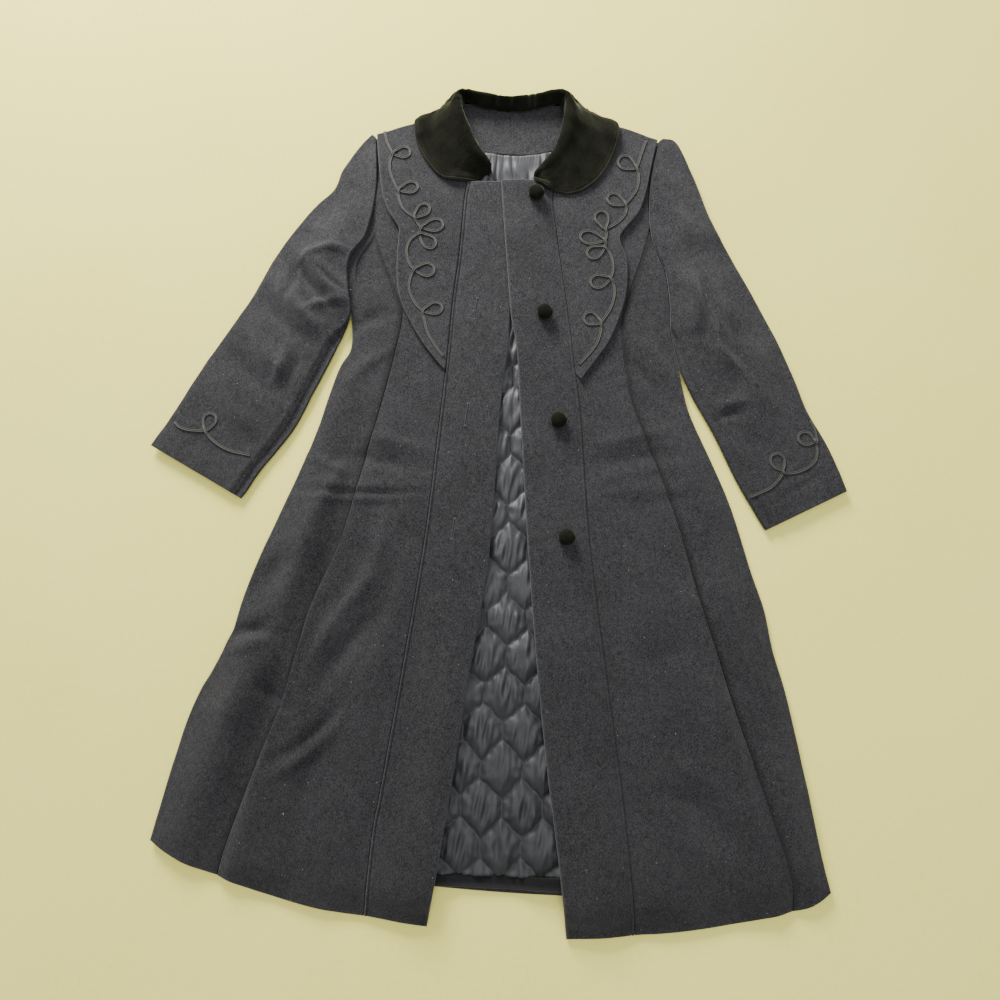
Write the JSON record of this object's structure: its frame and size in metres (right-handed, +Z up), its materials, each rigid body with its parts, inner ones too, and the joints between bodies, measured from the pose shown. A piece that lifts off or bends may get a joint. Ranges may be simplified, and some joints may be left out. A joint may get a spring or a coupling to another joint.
{
  "type": "girl's long dress coat, laid out open",
  "caption": "Long flared wool dress coat with a rounded velvet collar, shoulder caplets, looped braid and quilted lining, laid flat with its front open.",
  "frame": {"origin": "centre of the coat's bounding box, on the surface that it lies on", "axes": "+X to the viewer's right (the wearer's left), +Y towards the collar, +Z up out of the surface"},
  "size_m": [0.789, 0.961, 0.0325],
  "materials": {
    "wool": "dark navy-charcoal wool coating with a brushed nap",
    "wool_inside": "turned-up inside of the hem, near black",
    "velvet": "black velvet",
    "satin": "slate blue satin, quilted",
    "braid": "olive grey soutache braid"
  },
  "bodies": {
    "root": {"back": "wool", "back_hem": "wool_inside", "lining": "satin", "lining_gathers": "satin", "neck_facing": "wool", "front_band_right": "wool", "front_band_left": "wool", "front_panel_right": "wool", "front_panel_left": "wool", "side_panel_right": "wool", "side_panel_left": "wool", "sleeve_right_upper": "wool", "sleeve_right_under": "wool", "sleeve_left_upper": "wool", "sleeve_left_under": "wool", "caplet_right": "wool", "caplet_left": "wool", "collar": "velvet", "button_1": "velvet", "button_2": "velvet", "button_3": "velvet", "button_4": "velvet", "caplet_braid_right": "braid", "caplet_braid_left": "braid", "cuff_braid_right": "braid", "cuff_braid_left": "braid"}
  },
  "joints": []
}
